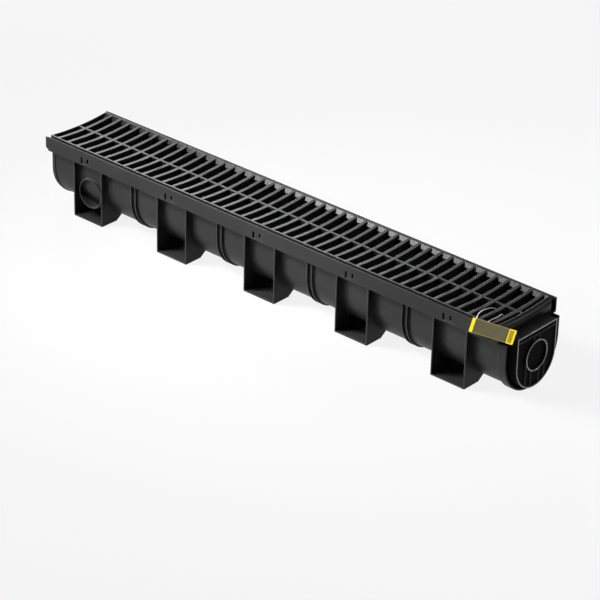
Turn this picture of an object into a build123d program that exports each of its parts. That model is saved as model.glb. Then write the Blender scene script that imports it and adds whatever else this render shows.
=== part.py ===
from build123d import *
from math import atan2, cos, radians, sin, sqrt, tan
import os

os.makedirs("parts", exist_ok=True)

# Frame: X runs along the channel from its plain left end to its capped right end,
# Y crosses it with the front face at -Y, and Z = 0 is the bedding level under the feet.

# Rim of the channel
rim_length = 1000.0
rim_width = 150.0
channel_height = 130.0
skirt_height = 26.0
rim_wall = 2.5
rim_edge_radius = 0.8
seat_depth = 23.5
tongue_reach = 5.5
tongue_height = 22.0
tongue_wall = 1.8
tongue_top_gap = 1.0
tongue_corner_radius = 4.5

# U-shaped trough
trough_half_width = 65.0
trough_wall = 2.5
trough_axis_z = 70.0
bead_position = 5.6
bead_width = 2.0
bead_height = 1.2

# Stiffening ribs in pairs around the trough
rib_pair_spacing = 10.0
rib_pair_shift = 3.0
rib_width = 2.2
rib_height = 3.2

# Bell at the right end, which goes over the plain end of the next channel
bell_length = 12.0
bell_wall = 2.7
bell_clearance = 0.8
bell_shoulder = 2.5

# Feet
leg_count = 5
first_leg_inset = 98.0
last_leg_inset = 94.0
leg_width = 69.0
leg_wall = 2.2
foot_depth = 36.0
foot_web_wall = 2.5
toe_depth = 50.0

# Latch slots in the skirt above each foot
latch_slot_width = 4.6
latch_tall_height = 12.0
latch_short_height = 8.0
latch_top_drop = 11.0
latch_tall_offset = 20.5
latch_short_offset = 34.5
latch_line_length = 22.0
latch_line_height = 1.0
latch_line_depth = 0.8

# Closed outlet stubs for a 50 mm pipe
pipe_bore_radius = 25.2
outlet_wall = 1.9
side_outlet_z = 50.5
side_outlet_setback = 5.5
side_outlet_free_length = 3.5
bottom_outlet_free_length = 3.5
outlet_shoulder = 1.2

# Grate
grate_side_gap = 1.8
grate_end_gap = 0.5
grate_rise = 1.5
grate_dip = 4.0
grate_groove_width = 4.5
grate_rail_width = 3.0
grate_flange_height = 14.0
grate_leg_wall = 2.7
grate_corner_radius = 13.0
bar_pitch = 22.9
bar_width = 6.0
first_bar_x = 17.5
bar_depth = 14.0
centre_rib_width = 3.5
centre_rib_depth = 6.0
slot_ramp = 5.5
slot_ramp_drop = 0.6
left_wall = 1.2
band_length = 10.5
end_wall = 3.0
end_wall_depth = 16.0
band_roll_radius = 9.0

# End cap
cap_plate_wall = 2.5
cap_plate_clearance = 0.5
cap_plug_clearance = 0.3
cap_plug_depth = 12.0
cap_plug_wall = 2.2
cap_top_z = 110.0
cap_box_half_width = 50.0
cap_box_edge_gap = 3.3
cap_box_reach = 21.3
cap_wall = 2.2
cap_edge_width = 1.8
cap_recess = 2.0
cap_ring_z = 64.5
cap_ring_wall = 1.9
cap_ring_reach = 3.5
cap_ledge_drop = 9.5
cap_rib_wall = 1.6
cap_rib_reach = 1.4
cap_lower_rib_width = 3.0
cap_rib_offsets = (10.0, 24.0)
cap_bracket_width = 12.0

# Hang tag and its loop
tag_length = 82.5
tag_height = 23.0
tag_thickness = 0.8
tag_corner_radius = 0.8
tag_lean = 33.0
tag_turn = 5.0
tag_clearance = 0.3
tag_left_shift = -7.1
tag_left_rise = 3.4
loop_wire_radius = 0.8
loop_wire_sides = 8
loop_reach = 68.0
loop_bar_clearance = 1.5
loop_bend_share = 0.45

# Levels and half sizes that follow from the driving sizes
half_width = rim_width / 2
front = -half_width
skirt_bottom = channel_height - skirt_height
seat_z = channel_height - seat_depth
trough_inner = trough_half_width - trough_wall
leg_pitch = (rim_length - first_leg_inset - last_leg_inset) / (leg_count - 1)
leg_positions = [first_leg_inset + leg_pitch * i for i in range(leg_count)]
grate_half = half_width - rim_wall - grate_side_gap
rail_face = half_width - rim_wall - grate_groove_width
slot_end_y = rail_face - grate_rail_width
grate_edge_z = channel_height + grate_rise
grate_centre_z = grate_edge_z - grate_dip
bar_bottom_z = grate_centre_z - bar_depth
band_start = rim_length - band_length
bar_count = int((band_start - bar_width / 2 - first_bar_x) / bar_pitch) + 1
bar_positions = [first_bar_x + bar_pitch * i for i in range(bar_count)]
loop_bar_x = bar_positions[-2]


def u_section(plane, half, axis_z, top_z):
    """Closed U outline: a half circle under axis_z and straight sides up to top_z."""
    with BuildSketch(plane) as section:
        with BuildLine():
            bowl = ThreePointArc((-half, axis_z), (0, axis_z - half), (half, axis_z))
            Polyline(bowl @ 1, (half, top_z), (-half, top_z), bowl @ 0)
        make_face()
    return section.sketch


def circle_drop(radius, offset):
    """Depth of a circle's lower half at a sideways offset from its centre."""
    return sqrt(radius**2 - offset**2)


def bend_radii(points, share):
    """Radius at each inner point of a route whose arcs use a share of the shorter run."""
    radii = []
    for before, corner, after in zip(points, points[1:], points[2:]):
        run_in = corner - before
        run_out = after - corner
        half_turn = radians(run_in.get_angle(run_out)) / 2
        radii.append(share * min(run_in.length, run_out.length) / tan(half_turn))
    return radii


# Channel body: rim, feet, trough, ribs, bell and closed outlets in one moulding
with BuildPart() as channel_body:
    # Skirt, top edge and seat ledge of the front half
    with BuildSketch(Plane.YZ) as rim_section:
        with BuildLine():
            Polyline(
                (front, skirt_bottom),
                (front, channel_height),
                (front + rim_wall, channel_height),
                (front + rim_wall, seat_z),
                (-trough_inner, seat_z),
                (-trough_inner, skirt_bottom),
                close=True,
            )
        make_face()
        fillet(rim_section.vertices().group_by(Axis.Y)[-1], rim_edge_radius)
    extrude(amount=rim_length)

    # Thin tongue that reaches past the left end of the skirt
    tongue_top = channel_height - tongue_top_gap
    with BuildSketch(Plane.XZ.offset(half_width - tongue_wall)) as tongue:
        with Locations((0, tongue_top)):
            Rectangle(2 * tongue_reach, tongue_height, align=(Align.CENTER, Align.MAX))
        fillet(tongue.vertices().group_by(Axis.Y)[0].sort_by(Axis.X)[0], tongue_corner_radius)
    extrude(amount=tongue_wall)

    # Each foot has two cross plates, and between them a web at the bedding level
    # that turns up to the trough
    toe_y = front + toe_depth
    toe_z = trough_axis_z - circle_drop(trough_half_width, toe_y)
    web_slope = atan2(toe_z, toe_depth - foot_depth)
    for leg_x in leg_positions:
        for plate_x in (leg_x - leg_width / 2, leg_x + leg_width / 2 - leg_wall):
            with BuildSketch(Plane.YZ.offset(plate_x)) as leg_plate:
                with BuildLine():
                    Polyline(
                        (front, skirt_bottom),
                        (front, 0),
                        (front + foot_depth, 0),
                        (toe_y, toe_z),
                        (toe_y, trough_axis_z),
                        (-trough_inner, seat_z - rim_wall / 2),
                        (front + rim_wall / 2, seat_z - rim_wall / 2),
                        close=True,
                    )
                make_face()
            extrude(amount=leg_wall)
        with BuildSketch(Plane.YZ.offset(leg_x - leg_width / 2)) as foot_web:
            with BuildLine():
                Polyline(
                    (front, 0),
                    (front + foot_depth, 0),
                    (toe_y, toe_z),
                    (toe_y, toe_z + foot_web_wall / cos(web_slope)),
                    (front + foot_depth - foot_web_wall * tan(web_slope / 2), foot_web_wall),
                    (front, foot_web_wall),
                    close=True,
                )
            make_face()
        extrude(amount=leg_width)

    # Latch slots through the skirt, with a fine line under the latch tab
    latch_top = channel_height - latch_top_drop
    with BuildSketch(Plane.XZ.offset(half_width)) as latch_slots:
        for leg_x in leg_positions:
            leg_left = leg_x - leg_width / 2
            with Locations((leg_left + latch_tall_offset, latch_top)):
                Rectangle(latch_slot_width, latch_tall_height, align=(Align.CENTER, Align.MAX))
            with Locations((leg_left + latch_short_offset, latch_top)):
                Rectangle(latch_slot_width, latch_short_height, align=(Align.CENTER, Align.MAX))
    extrude(amount=-rim_wall, mode=Mode.SUBTRACT)
    with BuildSketch(Plane.XZ.offset(half_width)) as latch_lines:
        for leg_x in leg_positions:
            leg_left = leg_x - leg_width / 2
            with Locations((leg_left + latch_tall_offset, latch_top - latch_tall_height)):
                Rectangle(latch_line_length, latch_line_height, align=(Align.MIN, Align.MIN))
    extrude(amount=-latch_line_depth, mode=Mode.SUBTRACT)

    # Side outlet stub on the first foot, open outwards and closed by the trough wall,
    # with a shoulder at its root
    stub_radius = pipe_bore_radius + outlet_wall
    stub_face = half_width - side_outlet_setback
    stub_root = stub_face - side_outlet_free_length
    for stub_start, radius in ((stub_face, stub_radius), (stub_root, stub_radius + outlet_shoulder)):
        with BuildSketch(Plane.XZ.offset(stub_start)) as side_stub:
            with Locations((leg_positions[0], side_outlet_z)):
                Circle(radius)
                Circle(pipe_bore_radius, mode=Mode.SUBTRACT)
        extrude(amount=-stub_face / 2)

    # The back is the mirror image of the front
    mirror(about=Plane.XZ)

    # Bottom outlet stub between the last feet, made the same way
    for stub_start, radius in (
        (0, stub_radius),
        (bottom_outlet_free_length, stub_radius + outlet_shoulder),
    ):
        with BuildSketch(Plane.XY.offset(stub_start)) as bottom_stub:
            with Locations((leg_positions[-1], 0)):
                Circle(radius)
                Circle(pipe_bore_radius, mode=Mode.SUBTRACT)
        extrude(amount=trough_axis_z / 2)

    # Trough, filled for now, with the stop bead and the paired ribs around it
    extrude(
        u_section(Plane.YZ, trough_half_width, trough_axis_z, seat_z), amount=rim_length
    )
    bead_half = trough_half_width + bead_height
    bead_plane = Plane.YZ.offset(bead_position)
    extrude(u_section(bead_plane, bead_half, trough_axis_z, seat_z), amount=bead_width)
    for leg_x in leg_positions[:-1]:
        pair_x = leg_x + leg_pitch / 2 + rib_pair_shift
        for rib_x in (pair_x - rib_pair_spacing / 2, pair_x + rib_pair_spacing / 2):
            rib_plane = Plane.YZ.offset(rib_x - rib_width / 2)
            rib_half = trough_half_width + rib_height
            extrude(u_section(rib_plane, rib_half, trough_axis_z, seat_z), amount=rib_width)

    # Bell past the right end of the rim
    bell_inner = trough_half_width + bell_clearance
    bell_outer = bell_inner + bell_wall
    bell_plane = Plane.YZ.offset(rim_length - bell_shoulder)
    extrude(
        u_section(bell_plane, bell_outer, trough_axis_z, skirt_bottom),
        amount=bell_shoulder + bell_length,
    )
    extrude(
        u_section(Plane.YZ.offset(rim_length), bell_inner, trough_axis_z, channel_height),
        amount=bell_length,
        mode=Mode.SUBTRACT,
    )

    # Waterway through the whole length
    extrude(
        u_section(Plane.YZ, trough_inner, trough_axis_z, channel_height),
        amount=rim_length,
        mode=Mode.SUBTRACT,
    )

channel_body.part.label = "channel_body"
export_step(channel_body.part, "parts/channel_body.step")


# Grate: a dished plate with raised rails, cross bars, a centre rib and a plain end band
with BuildPart() as grate:
    grate_start = grate_end_gap
    grate_end = rim_length - grate_end_gap
    flange_top = seat_z + grate_flange_height
    leg_inner = grate_half - grate_leg_wall
    with BuildSketch(Plane.YZ.offset(grate_start)) as grate_section:
        with BuildLine():
            dish = ThreePointArc(
                (-rail_face, grate_edge_z), (0, grate_centre_z), (rail_face, grate_edge_z)
            )
            Polyline(
                dish @ 1,
                (rail_face, flange_top),
                (grate_half, flange_top),
                (grate_half, seat_z),
                (leg_inner, seat_z),
                (leg_inner, bar_bottom_z),
                (-leg_inner, bar_bottom_z),
                (-leg_inner, seat_z),
                (-grate_half, seat_z),
                (-grate_half, flange_top),
                (-rail_face, flange_top),
                dish @ 0,
            )
        make_face()
    extrude(amount=grate_end - grate_start)

    # Walls that close the two ends under the dished top
    end_wall_bottom = grate_centre_z - end_wall_depth
    end_wall_height = bar_bottom_z - end_wall_bottom
    for wall_start, wall in ((grate_start, left_wall), (grate_end - end_wall, end_wall)):
        with Locations((wall_start, 0, end_wall_bottom)):
            Box(wall, 2 * leg_inner, end_wall_height, align=(Align.MIN, Align.CENTER, Align.MIN))

    # Slots between neighbouring bars, on both sides of the centre rib and under it,
    # with a ramp at each rail
    rib_bottom_z = grate_centre_z - centre_rib_depth
    ramp_top_z = grate_edge_z - slot_ramp_drop
    slot_starts = [grate_start + left_wall] + [x + bar_width / 2 for x in bar_positions]
    slot_ends = [x - bar_width / 2 for x in bar_positions] + [band_start]
    for slot_start, slot_end in zip(slot_starts, slot_ends):
        with BuildSketch(Plane.YZ.offset(slot_start)) as slot_section:
            with BuildLine():
                Polyline(
                    (0, bar_bottom_z),
                    (0, rib_bottom_z),
                    (centre_rib_width / 2, rib_bottom_z),
                    (centre_rib_width / 2, grate_edge_z),
                    (slot_end_y, grate_edge_z),
                    (slot_end_y, ramp_top_z),
                    (slot_end_y - slot_ramp, ramp_top_z - slot_ramp),
                    (slot_end_y - slot_ramp, bar_bottom_z),
                    close=True,
                )
            make_face()
            mirror(about=Plane.YZ)
        extrude(amount=slot_end - slot_start, mode=Mode.SUBTRACT)

    # The plain band rolls down at the right end, with corners that are round in plan
    end_arc = grate.edges().filter_by(GeomType.CIRCLE).sort_by(Axis.X)[-1]
    fillet(end_arc, band_roll_radius)
    with BuildSketch(Plane.XY.offset(seat_z)) as grate_plan:
        with Locations((grate_start, 0)):
            Rectangle(grate_end - grate_start, 2 * grate_half, align=(Align.MIN, Align.CENTER))
        fillet(grate_plan.vertices().group_by(Axis.X)[-1], grate_corner_radius)
    extrude(amount=grate_edge_z - seat_z, mode=Mode.INTERSECT)

grate.part.label = "grate"
export_step(grate.part, "parts/grate.step")


# End cap: a plate in the bell, a collar in the trough and a box with a pipe ring
with BuildPart() as end_cap:
    plate_half = trough_half_width + bell_clearance - cap_plate_clearance
    plug_half = trough_inner - cap_plug_clearance
    cap_box_axis_z = trough_axis_z - plate_half + cap_box_edge_gap + cap_box_half_width
    cap_face_x = rim_length + cap_box_reach
    plate_plane = Plane.YZ.offset(rim_length)
    plug_plane = Plane.YZ.offset(rim_length - cap_plug_depth)
    plug_top = seat_z - cap_plug_clearance
    extrude(
        u_section(plate_plane, plate_half, trough_axis_z, cap_top_z), amount=cap_plate_wall
    )
    extrude(u_section(plug_plane, plug_half, trough_axis_z, plug_top), amount=cap_plug_depth)
    extrude(
        u_section(plate_plane, cap_box_half_width, cap_box_axis_z, cap_top_z),
        amount=cap_box_reach,
    )

    # Hollow of the collar and of the box, both open to the waterway
    extrude(
        u_section(plug_plane, plug_half - cap_plug_wall, trough_axis_z, channel_height),
        amount=cap_plug_depth,
        mode=Mode.SUBTRACT,
    )
    box_inner = cap_box_half_width - cap_wall
    extrude(
        u_section(plate_plane, box_inner, cap_box_axis_z, cap_top_z - cap_wall),
        amount=cap_box_reach - cap_recess - cap_wall,
        mode=Mode.SUBTRACT,
    )

    # Recess of the face inside a narrow raised edge
    recess_plane = Plane.YZ.offset(cap_face_x - cap_recess)
    recess_half = cap_box_half_width - cap_edge_width
    recess_top = cap_top_z - cap_edge_width
    extrude(
        u_section(recess_plane, recess_half, cap_box_axis_z, recess_top),
        amount=cap_recess,
        mode=Mode.SUBTRACT,
    )

    # Pipe ring on the face
    cap_ring_radius = pipe_bore_radius + cap_ring_wall
    with BuildSketch(recess_plane) as cap_ring:
        with Locations((0, cap_ring_z)):
            Circle(cap_ring_radius)
            Circle(pipe_bore_radius, mode=Mode.SUBTRACT)
    extrude(amount=cap_ring_reach)

    # Ledge under the top edge, bracket above the ring and upright ribs below it
    ledge_z = cap_top_z - cap_ledge_drop
    ring_top = cap_ring_z + cap_ring_radius
    with BuildSketch(recess_plane) as face_ribs:
        with Locations((0, ledge_z)):
            Rectangle(2 * recess_half, cap_rib_wall)
        for side in (-1, 1):
            with Locations((side * cap_bracket_width / 2, ring_top - cap_ring_wall / 2)):
                bracket_height = ledge_z - ring_top + cap_ring_wall / 2
                Rectangle(cap_rib_wall, bracket_height, align=(Align.CENTER, Align.MIN))
        for rib_y in cap_rib_offsets:
            rib_top = cap_ring_z - circle_drop(cap_ring_radius - cap_ring_wall / 2, rib_y)
            rib_bottom = cap_box_axis_z - circle_drop(cap_box_half_width - cap_edge_width / 2, rib_y)
            with Locations((rib_y, rib_bottom), (-rib_y, rib_bottom)):
                rib_length = rib_top - rib_bottom
                Rectangle(cap_lower_rib_width, rib_length, align=(Align.CENTER, Align.MIN))
        with Locations((0, cap_ring_z)):
            Circle(cap_ring_radius - cap_ring_wall / 2, mode=Mode.SUBTRACT)
    extrude(amount=cap_rib_reach)

end_cap.part.label = "end_cap"
export_step(end_cap.part, "parts/end_cap.step")


# Hang tag: a card that leans over the top edge of the rim
lean = radians(tag_lean)
tag_normal = Vector(0, -cos(lean), sin(lean))
rim_corner = Vector(0, front, channel_height)
tag_back = Plane(
    origin=rim_corner + tag_normal * tag_clearance, x_dir=(1, 0, 0), z_dir=tag_normal
)
with BuildPart() as hang_tag:
    with BuildSketch(tag_back) as card:
        with Locations(Location((loop_bar_x + tag_left_shift, tag_left_rise), tag_turn)):
            Rectangle(tag_length, tag_height, align=(Align.MIN, Align.MAX))
        fillet(card.vertices(), tag_corner_radius)
    extrude(amount=tag_thickness)

hang_tag.part.label = "hang_tag"
export_step(hang_tag.part, "parts/hang_tag.step")


# Tag loop: a stiff eight-sided wire that leaves the tag, crosses the rim and passes under one bar.
# The route is in shares of the bar pitch beside the bar, of the loop's reach behind the
# front face and of the drop from the rails' top to the underside of the bar.
loop_shape = (
    (0.00, 0.03, -0.025),
    (-0.33, 0.15, -0.11),
    (-0.66, 0.56, 0.09),
    (-0.50, 0.93, 0.32),
    (-0.24, 1.00, 0.98),
    (0.24, 0.99, 1.00),
    (0.36, 0.82, 0.36),
    (0.70, 0.50, 0.13),
    (0.76, 0.13, -0.11),
    (0.88, 0.03, -0.025),
)
loop_drop = grate_edge_z - bar_bottom_z + loop_wire_radius + loop_bar_clearance
loop_points = [
    Vector(
        loop_bar_x + beside * bar_pitch,
        front + behind * loop_reach,
        grate_edge_z - below * loop_drop,
    )
    for beside, behind, below in loop_shape
]
with BuildPart() as tag_loop:
    with BuildLine() as loop_path:
        route = FilletPolyline(*loop_points, radius=bend_radii(loop_points, loop_bend_share))
    with BuildSketch(Plane(origin=route @ 0, z_dir=route % 0)) as wire:
        RegularPolygon(loop_wire_radius, loop_wire_sides)
    sweep(transition=Transition.ROUND)

tag_loop.part.label = "tag_loop"
export_step(tag_loop.part, "parts/tag_loop.step")
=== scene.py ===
"""The looks of a one metre plastic channel drain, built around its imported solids.

Everything is in metres. X runs along the channel from its plain end to its end cap, the
photographed front faces -Y, and Z = 0 is the level that the feet stand on.
"""

import logging
import math
from dataclasses import dataclass, field
from enum import Enum
from typing import Any, Mapping, Union

import bmesh
import bpy
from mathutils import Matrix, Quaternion, Vector


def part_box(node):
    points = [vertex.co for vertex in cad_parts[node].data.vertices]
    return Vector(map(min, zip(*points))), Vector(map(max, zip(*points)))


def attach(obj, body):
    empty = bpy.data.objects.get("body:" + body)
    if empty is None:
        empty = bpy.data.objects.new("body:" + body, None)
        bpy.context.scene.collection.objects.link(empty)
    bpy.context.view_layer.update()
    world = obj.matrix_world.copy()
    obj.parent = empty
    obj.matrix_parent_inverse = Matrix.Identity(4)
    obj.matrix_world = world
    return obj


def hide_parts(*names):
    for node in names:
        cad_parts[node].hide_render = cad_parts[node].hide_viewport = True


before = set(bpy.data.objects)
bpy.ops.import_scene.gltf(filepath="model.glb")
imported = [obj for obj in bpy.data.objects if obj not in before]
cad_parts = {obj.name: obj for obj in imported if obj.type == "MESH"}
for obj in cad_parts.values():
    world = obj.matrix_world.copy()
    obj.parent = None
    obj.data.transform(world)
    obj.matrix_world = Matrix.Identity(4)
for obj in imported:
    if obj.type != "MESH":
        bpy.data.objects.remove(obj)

log = logging.getLogger("channel_drain")

MM = 0.001
BODY = "root"
NOISE_ROUGHNESS = 0.55
NOISE_MIDDLE = 0.5
BEVEL_SAMPLES = 8
EDGE_THRESHOLD = 0.04

Colour = tuple[float, float, float]
Operand = Union["Signal", float, int]


class Signal:
    """One shader output that takes part in Python expressions on plain values."""

    def __init__(self, graph: "ShaderGraph", socket: bpy.types.NodeSocket) -> None:
        """Wraps a socket.

        Args:
            graph: the graph that the socket belongs to.
            socket: the output socket.
        """
        self.graph = graph
        self.socket = socket

    def _joined(self, operation: str, left: Operand, right: Operand) -> "Signal":
        """Adds one Math node.

        Args:
            operation: the Math node's operation.
            left: its first value.
            right: its second value.

        Returns:
            The node's result.
        """
        made = self.graph.node("ShaderNodeMath", {"operation": operation}, {0: left, 1: right})
        return Signal(self.graph, made.outputs[0])

    def __add__(self, other: Operand) -> "Signal":
        """This value plus another."""
        return self._joined("ADD", self, other)

    def __radd__(self, other: Operand) -> "Signal":
        """Another value plus this one."""
        return self._joined("ADD", other, self)

    def __sub__(self, other: Operand) -> "Signal":
        """This value less another."""
        return self._joined("SUBTRACT", self, other)

    def __rsub__(self, other: Operand) -> "Signal":
        """Another value less this one."""
        return self._joined("SUBTRACT", other, self)

    def __mul__(self, other: Operand) -> "Signal":
        """This value times another."""
        return self._joined("MULTIPLY", self, other)

    def __rmul__(self, other: Operand) -> "Signal":
        """Another value times this one."""
        return self._joined("MULTIPLY", other, self)

    def __gt__(self, other: Operand) -> "Signal":
        """One where this value is the greater, and nought elsewhere."""
        return self._joined("GREATER_THAN", self, other)

    def __lt__(self, other: Operand) -> "Signal":
        """One where this value is the smaller, and nought elsewhere."""
        return self._joined("LESS_THAN", self, other)

    def magnitude(self) -> "Signal":
        """This value without its sign."""
        return self._joined("ABSOLUTE", self, 0.0)

    def clamped(self) -> "Signal":
        """This value held between nought and one."""
        made = self.graph.node("ShaderNodeClamp", {}, {"Value": self})
        return Signal(self.graph, made.outputs[0])

    def step_up(self, low: float, high: float) -> "Signal":
        """A smooth rise from nought to one.

        Args:
            low: the value at which the rise starts.
            high: the value at which it ends.

        Returns:
            The smooth step.
        """
        made = self.graph.node(
            "ShaderNodeMapRange",
            {"interpolation_type": "SMOOTHSTEP"},
            {"Value": self, "From Min": low, "From Max": high},
        )
        return Signal(self.graph, made.outputs[0])


class ShaderGraph:
    """The node tree of one material."""

    def __init__(self, name: str) -> None:
        """Makes an empty material.

        Args:
            name: the material's name.
        """
        self.material = bpy.data.materials.new(name)
        self.material.use_nodes = True
        self.tree = self.material.node_tree
        self.tree.nodes.clear()

    def node(
        self,
        kind: str,
        settings: Mapping[str, Any],
        inputs: Mapping[Union[str, int], Any],
    ) -> bpy.types.Node:
        """Adds a node, its settings first and its sockets after them.

        Args:
            kind: the node's type.
            settings: its properties by name.
            inputs: values, sockets or signals, by the socket's name or number.

        Returns:
            The new node.
        """
        made = self.tree.nodes.new(kind)
        for name, value in settings.items():
            setattr(made, name, value)
        for key, value in inputs.items():
            self._feed(made.inputs[key], value)
        return made

    def _feed(self, socket: bpy.types.NodeSocket, value: Any) -> None:
        """Links or sets one input socket.

        Args:
            socket: the input socket.
            value: its value, or the socket or signal that feeds it.
        """
        if isinstance(value, Signal):
            value = value.socket
        if isinstance(value, bpy.types.NodeSocket):
            self.tree.links.new(value, socket)
        else:
            socket.default_value = value

    def signal(
        self,
        kind: str,
        settings: Mapping[str, Any],
        inputs: Mapping[Union[str, int], Any],
        output: Union[str, int] = 0,
    ) -> Signal:
        """Adds a node and wraps one of its outputs.

        Args:
            kind: the node's type.
            settings: its properties.
            inputs: its sockets' values or links.
            output: the output's name or number.

        Returns:
            The wrapped output.
        """
        return Signal(self, self.node(kind, settings, inputs).outputs[output])

    def place(self) -> bpy.types.NodeSocket:
        """The surface point in the object's own coordinates, in metres."""
        return self.node("ShaderNodeTexCoord", {}, {}).outputs["Object"]

    def parts(self, vector: bpy.types.NodeSocket) -> tuple[Signal, Signal, Signal]:
        """The three parts of a vector, each as a value."""
        split = self.node("ShaderNodeSeparateXYZ", {}, {0: vector})
        return tuple(Signal(self, output) for output in split.outputs)

    def noise(
        self, size: float, detail: float = 2.0, stretch: Vector = Vector((1, 1, 1))
    ) -> Signal:
        """Noise between nought and one.

        Args:
            size: the size of one blotch in metres.
            detail: how many finer layers it has.
            stretch: how much longer a blotch is along each axis.

        Returns:
            The noise value.
        """
        squeeze = (1 / stretch.x, 1 / stretch.y, 1 / stretch.z)
        mapped = self.node(
            "ShaderNodeMapping", {"vector_type": "POINT"}, {"Vector": self.place(), "Scale": squeeze}
        )
        return self.signal(
            "ShaderNodeTexNoise",
            {"noise_dimensions": "3D"},
            {
                "Vector": mapped.outputs[0],
                "Scale": 1 / size,
                "Detail": detail,
                "Roughness": NOISE_ROUGHNESS,
            },
        )

    def bumped(
        self, height: Signal, strength: float, depth: float, radius: float
    ) -> bpy.types.NodeSocket:
        """Lays a grain on the rounded surface normal.

        Args:
            height: the grain.
            strength: how much the grain counts.
            depth: how deep it is, in metres.
            radius: the radius that sharp edges are rounded to, in metres.

        Returns:
            The normal's socket.
        """
        return self.node(
            "ShaderNodeBump",
            {},
            {
                "Strength": strength,
                "Distance": depth,
                "Height": height,
                "Normal": self.rounded(radius),
            },
        ).outputs[0]

    def plastic(self, **inputs: Any) -> bpy.types.NodeSocket:
        """Adds a Principled shader, its sockets named as in Base_Color, and returns its output."""
        named = {key.replace("_", " "): value for key, value in inputs.items()}
        return self.node("ShaderNodeBsdfPrincipled", {}, named).outputs[0]

    def blend(self, factor: Operand, low: Any, high: Any) -> bpy.types.NodeSocket:
        """Mixes two colours.

        Args:
            factor: the share of the second colour.
            low: the first colour or its socket.
            high: the second colour or its socket.

        Returns:
            The mixed colour's socket.
        """
        colours = [c if isinstance(c, bpy.types.NodeSocket) else (*c, 1.0) for c in (low, high)]
        made = self.node(
            "ShaderNodeMix",
            {"data_type": "RGBA", "clamp_factor": True},
            {0: factor, 6: colours[0], 7: colours[1]},
        )
        return made.outputs[2]

    def flat_normal(self) -> bpy.types.NodeSocket:
        """The surface normal without any rounding or grain."""
        return self.node("ShaderNodeNewGeometry", {}, {}).outputs["True Normal"]

    def rounded(self, radius: float) -> bpy.types.NodeSocket:
        """The surface normal as it would be with sharp edges rounded to a radius in metres."""
        settings = {"samples": BEVEL_SAMPLES}
        return self.node("ShaderNodeBevel", settings, {"Radius": radius}).outputs[0]

    def edges(self, radius: float, gain: float) -> Signal:
        """Finds the narrow strips beside sharp edges.

        Args:
            radius: how far a strip reaches from its edge, in metres.
            gain: how fast it rises towards the edge.

        Returns:
            One on an edge and nought away from it.
        """
        likeness = self.signal(
            "ShaderNodeVectorMath",
            {"operation": "DOT_PRODUCT"},
            {0: self.rounded(radius), 1: self.flat_normal()},
            "Value",
        )
        return ((1.0 - likeness) * gain - EDGE_THRESHOLD).clamped()

    def mixed(
        self, share: Signal, first: bpy.types.NodeSocket, second: bpy.types.NodeSocket
    ) -> bpy.types.NodeSocket:
        """Mixes two shaders.

        Args:
            share: the share of the second shader.
            first: the first shader.
            second: the second shader.

        Returns:
            The mixed shader's socket.
        """
        return self.node("ShaderNodeMixShader", {}, {0: share, 1: first, 2: second}).outputs[0]

    def finish(self, shader: bpy.types.NodeSocket) -> bpy.types.Material:
        """Sends a shader to the material's output and returns the material."""
        self.node("ShaderNodeOutputMaterial", {}, {"Surface": shader})
        return self.material


class EdgeHighlight(Enum):
    """How the painted highlights on the moulded edges look: the share of the highlight colour, and
    its reach in metres.
    """

    SOFT = (0.35, 0.8 * MM)
    CLEAR = (0.6, 0.9 * MM)

    @property
    def share(self) -> float:
        """The most that the painted edge highlight counts for."""
        return self.value[0]

    @property
    def reach(self) -> float:
        """How far the painted pale strip reaches from the edge."""
        return self.value[1]


@dataclass(frozen=True)
class MouldedPlastic:
    """Black moulded plastic with a fine grain, faint flow marks and edges painted paler as a painted
    highlight.
    """

    name: str
    colour: Colour
    edge_highlight_colour: Colour
    specular: float
    edge_highlight: EdgeHighlight = EdgeHighlight.SOFT
    edge_gain: float = 5.0
    roughness: float = 0.42
    roughness_swing: float = 0.10
    round_radius: float = 0.6 * MM
    grain_size: float = 0.8 * MM
    grain_depth: float = 0.015 * MM
    grain_strength: float = 0.5
    flow_size: float = 60 * MM
    flow_length: float = 2.5
    flow_rise: tuple[float, float] = (0.35, 0.7)
    flow_lift: float = 1.25

    def tone(self, graph: ShaderGraph, flow: Signal) -> bpy.types.NodeSocket:
        """Works out the plastic's colour with its flow marks and its painted edge highlights.

        Args:
            graph: the material's graph.
            flow: the flow marks.

        Returns:
            The colour's socket.
        """
        lifted = tuple(self.flow_lift * c for c in self.colour)
        plain = graph.blend(flow.step_up(*self.flow_rise), self.colour, lifted)
        # The pale strips along the edges are a painted highlight: colour standing in for light
        # caught by the rounded edges.
        edge = graph.edges(self.edge_highlight.reach, self.edge_gain)
        return graph.blend(edge * self.edge_highlight.share, plain, self.edge_highlight_colour)

    def surface(self, graph: ShaderGraph, flow: Signal) -> dict[str, Any]:
        """Works out the Principled shader's sockets for this plastic.

        Args:
            graph: the material's graph.
            flow: the flow marks.

        Returns:
            The sockets' values by name.
        """
        grain = graph.noise(self.grain_size)
        return {
            "Base_Color": self.tone(graph, flow),
            "Roughness": self.roughness + (flow - NOISE_MIDDLE) * self.roughness_swing,
            "Specular_IOR_Level": self.specular,
            "Normal": graph.bumped(
                grain, self.grain_strength, self.grain_depth, self.round_radius
            ),
        }

    def material(self) -> bpy.types.Material:
        """Builds the node material.

        Returns:
            The material.
        """
        graph = ShaderGraph(self.name)
        flow = graph.noise(self.flow_size, stretch=Vector((self.flow_length, 1, 1)))
        return graph.finish(graph.plastic(**self.surface(graph, flow)))


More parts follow.
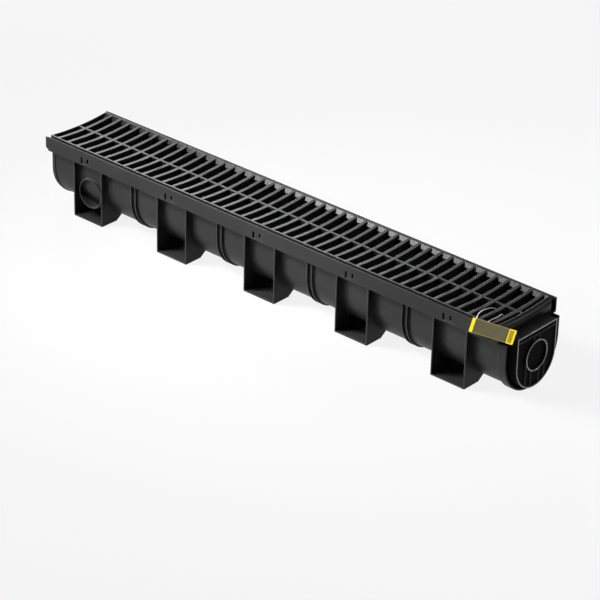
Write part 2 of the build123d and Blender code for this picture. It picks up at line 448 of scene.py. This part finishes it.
@dataclass(frozen=True)
class RampedPlastic(MouldedPlastic):
    """The grate's plastic, whose slots end in smoother ramps with a painted highlight: a paler
    colour and a metallic share.
    """

    ramp_highlight_colour: Colour = (0.036, 0.036, 0.036)
    ramp_highlight_share: float = 0.22
    ramp_slope: float = 0.6
    ramp_smoothing: float = 0.08

    def surface(self, graph: ShaderGraph, flow: Signal) -> dict[str, Any]:
        """Adds the ramps' painted highlight and their lower roughness to the plain plastic's
        sockets.

        Args:
            graph: the material's graph.
            flow: the flow marks.

        Returns:
            The sockets' values by name.
        """
        sockets = super().surface(graph, flow)
        _, sideways, upward = graph.parts(graph.flat_normal())
        ramp = (sideways.magnitude() > self.ramp_slope) * (upward > self.ramp_slope)
        # Painted highlight: the ramps' paler colour and metallic share stand in for light they
        # catch; their lower roughness is their own surface.
        ramp_highlight = ramp * self.ramp_highlight_share
        sockets["Base_Color"] = graph.blend(ramp_highlight, sockets["Base_Color"], self.ramp_highlight_colour)
        sockets["Roughness"] = sockets["Roughness"] - ramp * self.ramp_smoothing
        sockets["Metallic"] = ramp_highlight
        return sockets


@dataclass(frozen=True)
class PaintedLightCap:
    """Matte plastic of the end cap, with painted shade on the faces turned towards +X and a pale
    metallic painted highlight where its face stands proud.
    """

    name: str = "cap_plastic"
    # The two face colours are painted shade: a nearly lightless tone for faces turned towards +X.
    face: Colour = (0.003, 0.003, 0.0031)
    face_lifted: Colour = (0.009, 0.009, 0.0093)
    side: Colour = (0.034, 0.034, 0.035)
    shaded_face_slope: float = 0.5
    # The pale metallic colour and its settings below are a painted highlight on the proud outline,
    # ring and rib edges.
    painted_highlight_colour: Colour = (0.62, 0.62, 0.62)
    specular: float = 0.02
    face_roughness: float = 0.55
    face_swing: float = 0.15
    painted_highlight_metallic: float = 0.8
    painted_highlight_roughness: float = 0.24
    painted_highlight_swing: float = 0.08
    cloud_size: float = 14 * MM
    cloud_rise: tuple[float, float] = (0.35, 0.75)
    grain_size: float = 0.8 * MM
    grain_depth: float = 0.02 * MM
    grain_strength: float = 0.4
    proud_start: float = 1.02105
    rib_start: float = 1.0202
    proud_share: float = 0.30
    edge_share: float = 0.5
    rib_share: float = 0.22
    edge_reach: float = 0.9 * MM
    edge_gain: float = 6.0
    round_radius: float = 0.7 * MM

    def painted_highlight_share(self, graph: ShaderGraph) -> Signal:
        """Works out the share of the painted highlight.

        The outline and the pipe ring stand highest and carry the painted highlight all over. The
        ribs on the recessed face are a little lower, and only their edges carry it.

        Args:
            graph: the material's graph.

        Returns:
            The share of the painted highlight.
        """
        along, _, _ = graph.parts(graph.place())
        edge = graph.edges(self.edge_reach, self.edge_gain)
        proud = along > self.proud_start
        ribs = (along > self.rib_start) * self.rib_share
        outline = proud * (self.proud_share + edge * self.edge_share)
        return (outline + (1.0 - proud) * ribs * edge).clamped()

    def material(self) -> bpy.types.Material:
        """Builds the node material.

        Returns:
            The material.
        """
        graph = ShaderGraph(self.name)
        cloud = graph.noise(self.cloud_size)
        grain = graph.noise(self.grain_size)
        normal = graph.bumped(grain, self.grain_strength, self.grain_depth, self.round_radius)
        forward, _, _ = graph.parts(graph.flat_normal())
        # Painted shade: faces turned towards +X get a nearly lightless colour, while the sides keep
        # the plastic's own tone.
        painted_shade_tone = graph.blend(cloud.step_up(*self.cloud_rise), self.face, self.face_lifted)
        matte = graph.plastic(
            Base_Color=graph.blend(forward < self.shaded_face_slope, painted_shade_tone, self.side),
            Roughness=self.face_roughness + (cloud - NOISE_MIDDLE) * self.face_swing,
            Specular_IOR_Level=self.specular,
            Normal=normal,
        )
        # Painted highlight: a pale metallic shader stands in for light caught by the proud outline
        # and ring.
        bright = graph.plastic(
            Base_Color=(*self.painted_highlight_colour, 1.0),
            Metallic=self.painted_highlight_metallic,
            Roughness=self.painted_highlight_roughness + cloud * self.painted_highlight_swing,
            Normal=normal,
        )
        return graph.finish(graph.mixed(self.painted_highlight_share(graph), matte, bright))


@dataclass(frozen=True)
class MouldedNylon:
    """White moulded nylon of the tag's loop."""

    name: str = "loop_nylon"
    colour: Colour = (0.88, 0.88, 0.87)
    shaded: Colour = (0.80, 0.80, 0.79)
    cloud_size: float = 4 * MM
    specular: float = 0.5
    roughness: float = 0.34
    roughness_swing: float = 0.2

    def material(self) -> bpy.types.Material:
        """Builds the node material.

        Returns:
            The material.
        """
        graph = ShaderGraph(self.name)
        cloud = graph.noise(self.cloud_size)
        white = graph.plastic(
            Base_Color=graph.blend(cloud, self.shaded, self.colour),
            Roughness=self.roughness + (cloud - NOISE_MIDDLE) * self.roughness_swing,
            Specular_IOR_Level=self.specular,
        )
        return graph.finish(white)


@dataclass(frozen=True)
class PrintedCard:
    """The hang tag's print: yellow ends, a bare smoky field and an amber patch."""

    name: str = "tag_card"
    yellow: Colour = (1.0, 0.72, 0.0)
    amber: Colour = (0.13, 0.072, 0.003)
    hem_colour: Colour = (0.42, 0.33, 0.02)
    smoke: Colour = (0.066, 0.056, 0.014)
    smoke_pale: Colour = (0.115, 0.106, 0.056)
    cloud_size: float = 7 * MM
    speck_size: float = 1.6 * MM
    noise_detail: float = 3.0
    cloud_share: float = 0.5
    speck_share: float = 0.5
    smoke_drift: float = 5.0
    smoke_start: float = 0.25
    left_field: float = 6.0 * MM
    right_field: float = 69.5 * MM
    patch_start: float = 71.2 * MM
    patch_end: float = 79.0 * MM
    patch_margin: float = 1.8 * MM
    patch_share: float = 0.55
    patch_swing: float = 0.3
    hem_height: float = 1.0 * MM
    hem_share: float = 0.35
    hem_swing: float = 0.3
    specular: float = 0.12
    roughness: float = 0.34
    field_dulling: float = 0.12
    roughness_swing: float = 0.08

    def tone(
        self, graph: ShaderGraph, field_mask: Signal, across: Signal, rise: Signal, height: float
    ) -> bpy.types.NodeSocket:
        """Lays out the printed colours.

        Args:
            graph: the material's graph.
            field_mask: one inside the smoky field.
            across: the distance along the card.
            rise: the distance up the card.
            height: the card's height.

        Returns:
            The colour's socket.
        """
        cloud = graph.noise(self.cloud_size, self.noise_detail)
        speck = graph.noise(self.speck_size, self.noise_detail)
        mottle = cloud * self.cloud_share + speck * self.speck_share
        drift = mottle + across * self.smoke_drift - self.smoke_start
        smoke = graph.blend(drift, self.smoke, self.smoke_pale)
        tone = graph.blend(field_mask, self.yellow, smoke)
        inside = (rise > self.patch_margin) * (rise < height - self.patch_margin)
        patch = (across > self.patch_start) * (across < self.patch_end) * inside
        tone = graph.blend(patch * (self.patch_share + cloud * self.patch_swing), tone, self.amber)
        hem = ((rise < self.hem_height) + (rise > height - self.hem_height)) * field_mask
        return graph.blend(hem * (self.hem_share + speck * self.hem_swing), tone, self.hem_colour)

    def material(
        self, origin: Vector, along: Vector, up: Vector, height: float
    ) -> bpy.types.Material:
        """Builds the node material.

        Args:
            origin: the card's lower left corner.
            along: the unit vector along its length.
            up: the unit vector up its face.
            height: the card's height in metres.

        Returns:
            The material.
        """
        graph = ShaderGraph(self.name)
        offset = graph.node(
            "ShaderNodeVectorMath", {"operation": "SUBTRACT"}, {0: graph.place(), 1: origin}
        ).outputs[0]
        across, rise = (
            graph.signal(
                "ShaderNodeVectorMath",
                {"operation": "DOT_PRODUCT"},
                {0: offset, 1: direction},
                "Value",
            )
            for direction in (along, up)
        )
        field_mask = (across > self.left_field) * (across < self.right_field)
        dulling = field_mask * self.field_dulling
        cloud = graph.noise(self.cloud_size, self.noise_detail)
        card = graph.plastic(
            Base_Color=self.tone(graph, field_mask, across, rise, height),
            Roughness=self.roughness + dulling + cloud * self.roughness_swing,
            Specular_IOR_Level=self.specular,
        )
        return graph.finish(card)


@dataclass(frozen=True)
class PaleFloor:
    """A plain pale floor that shows nearly white and throws little light back."""

    name: str = "pale_floor"
    seen_colour: Colour = (0.86, 0.86, 0.86)
    clouded_colour: Colour = (0.80, 0.80, 0.80)
    bounce_colour: Colour = (0.30, 0.30, 0.30)
    cloud_size: float = 0.9
    cloud_share: float = 0.1
    own_share: float = 0.86

    def material(self) -> bpy.types.Material:
        """Builds the node material.

        Returns:
            The material.
        """
        graph = ShaderGraph(self.name)
        path = graph.node("ShaderNodeLightPath", {}, {})
        rays = ("Is Camera Ray", "Is Glossy Ray", "Is Transmission Ray")
        camera, glossy, through = (Signal(graph, path.outputs[ray]) for ray in rays)
        seen = (camera + glossy + through).clamped()
        cloud = graph.noise(self.cloud_size)
        pale = graph.blend(cloud * self.cloud_share, self.seen_colour, self.clouded_colour)
        tone = graph.blend(seen, self.bounce_colour, pale)
        paint = graph.node("ShaderNodeBsdfDiffuse", {}, {"Color": tone, "Roughness": 0.0})
        glow = graph.node("ShaderNodeEmission", {}, {"Color": (1, 1, 1, 1), "Strength": 1.0})
        own = seen * self.own_share
        return graph.finish(graph.mixed(own, paint.outputs[0], glow.outputs[0]))


def set_material(obj: bpy.types.Object, material: bpy.types.Material) -> None:
    """Puts one material in every slot of an object.

    Args:
        obj: the object, which may be a CAD node.
        material: its new material.
    """
    if not obj.material_slots:
        obj.data.materials.append(material)
    for slot in obj.material_slots:
        slot.material = material


@dataclass
class CadPiece:
    """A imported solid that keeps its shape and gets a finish."""

    node: str
    finish: Union[MouldedPlastic, RampedPlastic, PaintedLightCap]

    def build(self) -> bpy.types.Object:
        """Dresses the node.

        Returns:
            The node's object.
        """
        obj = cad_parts[self.node]
        set_material(obj, self.finish.material())
        log.info("%s: %d faces, finish %s", self.node, len(obj.data.polygons), self.finish.name)
        return obj


@dataclass
class HangTag:
    """The printed card that leans on the front edge of the rim."""

    length: float = 82.5 * MM
    height: float = 23.0 * MM
    turn: float = 5.0
    lean: float = 33.0
    print_finish: PrintedCard = field(default_factory=PrintedCard)

    def build(self) -> bpy.types.Object:
        """Dresses the card.

        Returns:
            The card's object.
        """
        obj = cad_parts["hang_tag"]
        low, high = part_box("hang_tag")
        lean, turn = math.radians(self.lean), math.radians(self.turn)
        normal = Vector((0, -math.cos(lean), math.sin(lean)))
        level = Vector((1, 0, 0))
        rise = normal.cross(level)
        along = level * math.cos(turn) + rise * math.sin(turn)
        up = rise * math.cos(turn) - level * math.sin(turn)
        centre = (low + high) / 2
        corner = centre - along * (self.length / 2) - up * (self.height / 2)
        set_material(obj, self.print_finish.material(corner, along, up, self.height))
        log.info("hang_tag: %d faces", len(obj.data.polygons))
        return obj


@dataclass
class TagLoop:
    """The stiff nylon loop that leaves the tag, crosses the rim and passes under one bar."""

    wire_radius: float = 0.95 * MM
    route_order: int = 3
    steps_per_stretch: int = 10
    bevel_steps: int = 4
    finish: MouldedNylon = field(default_factory=MouldedNylon)
    route: tuple[tuple[float, float, float], ...] = (
        (0.9564, -0.07296, 0.13201),
        (0.94884, -0.0648, 0.13373),
        (0.94129, -0.03692, 0.12967),
        (0.94495, -0.01176, 0.125),
        (0.9509, -0.007, 0.11161),
        (0.9619, -0.00768, 0.1112),
        (0.96464, -0.01924, 0.12419),
        (0.97243, -0.041, 0.12886),
        (0.9738, -0.06616, 0.13373),
        (0.97655, -0.07296, 0.13201),
    )

    def line(self) -> bpy.types.Object:
        """Lays the wire's smooth centre line, with its round section.

        Returns:
            The curve.
        """
        data = bpy.data.curves.new("tag_loop_line", "CURVE")
        data.dimensions = "3D"
        data.resolution_u = self.steps_per_stretch
        data.bevel_depth = self.wire_radius
        data.bevel_resolution = self.bevel_steps
        data.use_fill_caps = True
        spline = data.splines.new("NURBS")
        spline.points.add(len(self.route) - 1)
        for point, place in zip(spline.points, self.route):
            point.co = (*place, 1.0)
        spline.order_u = self.route_order
        spline.use_endpoint_u = True
        obj = bpy.data.objects.new("tag_loop_line", data)
        bpy.context.scene.collection.objects.link(obj)
        return obj

    def build(self) -> bpy.types.Object:
        """Builds the wire as a mesh in place of its plain solid.

        Returns:
            The wire.
        """
        line = self.line()
        bpy.context.view_layer.update()
        mesh = bpy.data.meshes.new_from_object(line)
        bpy.data.objects.remove(line)
        mesh.shade_smooth()
        wire = bpy.data.objects.new("tag_loop_wire", mesh)
        bpy.context.scene.collection.objects.link(wire)
        mesh.materials.clear()
        set_material(wire, self.finish.material())
        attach(wire, BODY)
        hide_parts("tag_loop")
        log.info("tag_loop_wire: %d faces", len(mesh.polygons))
        return wire


@dataclass
class Lamp:
    """One soft rectangular studio lamp."""

    name: str
    place: Vector
    aim: Vector
    size: tuple[float, float]
    power: float
    spread_degrees: float = 180.0

    def build(self) -> bpy.types.Object:
        """Adds the lamp, turned towards its aim.

        Returns:
            The lamp's object.
        """
        data = bpy.data.lights.new(self.name, "AREA")
        data.shape = "RECTANGLE"
        data.size, data.size_y = self.size
        data.energy = self.power
        data.spread = math.radians(self.spread_degrees)
        obj = bpy.data.objects.new(self.name, data)
        obj.location = self.place
        obj.rotation_mode = "QUATERNION"
        obj.rotation_quaternion = (self.aim - self.place).to_track_quat("-Z", "Y")
        bpy.context.scene.collection.objects.link(obj)
        log.info("%s: %.1f W", self.name, self.power)
        return obj


@dataclass
class Studio:
    """Floor, world light, lamps and camera."""

    floor_size: float = 14.0
    floor_middle: float = 0.5
    floor_drop: float = 0.4 * MM
    world_grey: float = 0.05
    camera_place: Vector = Vector((3.2145, -3.0929, 2.2026))
    camera_aim: Vector = Vector((0.5435, -0.0174, -0.0117))
    camera_roll: float = 1.44
    lens_mm: float = 166.14
    sensor_mm: float = 36.0
    view_depth: float = 50.0

    def floor(self) -> bpy.types.Object:
        """Adds the floor.

        Returns:
            The floor's object.
        """
        mesh = bpy.data.meshes.new("floor")
        shape = bmesh.new()
        bmesh.ops.create_grid(shape, x_segments=1, y_segments=1, size=self.floor_size / 2)
        shape.to_mesh(mesh)
        shape.free()
        obj = bpy.data.objects.new("floor", mesh)
        obj.location = (self.floor_middle, 0.0, -self.floor_drop)
        bpy.context.scene.collection.objects.link(obj)
        set_material(obj, PaleFloor().material())
        return obj

    def world(self) -> None:
        """Sets an even grey world."""
        world = bpy.data.worlds.new("studio_world")
        world.use_nodes = True
        background = world.node_tree.nodes["Background"]
        background.inputs["Color"].default_value = (1, 1, 1, 1)
        background.inputs["Strength"].default_value = self.world_grey
        bpy.context.scene.world = world

    def lamps(self) -> list[Lamp]:
        """Lists the lamps.

        The key lights the skirt and the trough, the softbox behind shines on the bars' tops,
        the high lamp fills, the ramp lamp shines on the slots' back ends, and the edge lamp
        lights the end cap's outline.

        Returns:
            The lamps, not yet built.
        """
        return [
            Lamp(
                name="front_key",
                place=Vector((-3.1, -2.3, 1.35)),
                aim=Vector((0.95, 0.0, 0.1)),
                size=(1.2, 1.2),
                power=6.0,
                spread_degrees=22,
            ),
            Lamp(
                name="back_softbox",
                place=Vector((-1.7, 2.0, 1.05)),
                aim=Vector((0.0, 0.0, 0.1)),
                size=(1.6, 0.9),
                power=40.0,
            ),
            Lamp(
                name="high_front",
                place=Vector((-0.7, -1.5, 2.1)),
                aim=Vector((0.7, 0.0, 0.1)),
                size=(0.6, 0.6),
                power=2.6,
                spread_degrees=50,
            ),
            Lamp(
                name="ramp_lamp",
                place=Vector((-0.256, -0.61, 1.05)),
                aim=Vector((0.55, 0.06, 0.12)),
                size=(0.25, 0.25),
                power=1.8,
                spread_degrees=60,
            ),
            Lamp(
                name="edge_lamp",
                place=Vector((1.9, 1.5, 1.3)),
                aim=Vector((1.0, 0.0, 0.1)),
                size=(0.35, 0.35),
                power=8.0,
            ),
        ]

    def camera(self) -> bpy.types.Object:
        """Adds the camera at the photograph's viewing angle.

        Returns:
            The camera's object.
        """
        data = bpy.data.cameras.new("view")
        data.lens = self.lens_mm
        data.sensor_width = self.sensor_mm
        data.clip_end = self.view_depth
        obj = bpy.data.objects.new("view", data)
        obj.location = self.camera_place
        look = (self.camera_aim - self.camera_place).to_track_quat("-Z", "Y")
        obj.rotation_mode = "QUATERNION"
        obj.rotation_quaternion = look @ Quaternion((0, 0, 1), math.radians(self.camera_roll))
        bpy.context.scene.collection.objects.link(obj)
        bpy.context.scene.camera = obj
        return obj

    def build(self) -> None:
        """Builds the whole studio."""
        bpy.context.scene.view_settings.view_transform = "Standard"
        self.floor()
        self.world()
        lamps = self.lamps()
        for lamp in lamps:
            lamp.build()
        self.camera()
        log.info("studio: floor, world, %d lamps and camera", len(lamps))


# The edge colours below are painted highlights along the moulded edges.
CHANNEL_PLASTIC = MouldedPlastic(
    name="channel_plastic",
    colour=(0.034, 0.034, 0.035),
    edge_highlight_colour=(0.34, 0.34, 0.34),
    specular=0.12,
)
GRATE_PLASTIC = RampedPlastic(
    name="grate_plastic",
    colour=(0.017, 0.017, 0.0175),
    edge_highlight_colour=(0.40, 0.40, 0.40),
    specular=0.20,
    edge_highlight=EdgeHighlight.CLEAR,
)


def main() -> None:
    """Builds each sub-assembly in order."""
    logging.basicConfig(level=logging.INFO, format="%(name)s: %(message)s")
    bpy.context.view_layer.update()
    CadPiece("channel_body", CHANNEL_PLASTIC).build()
    CadPiece("grate", GRATE_PLASTIC).build()
    CadPiece("end_cap", PaintedLightCap()).build()
    HangTag().build()
    TagLoop().build()
    Studio().build()


if __name__ == "__main__":
    main()
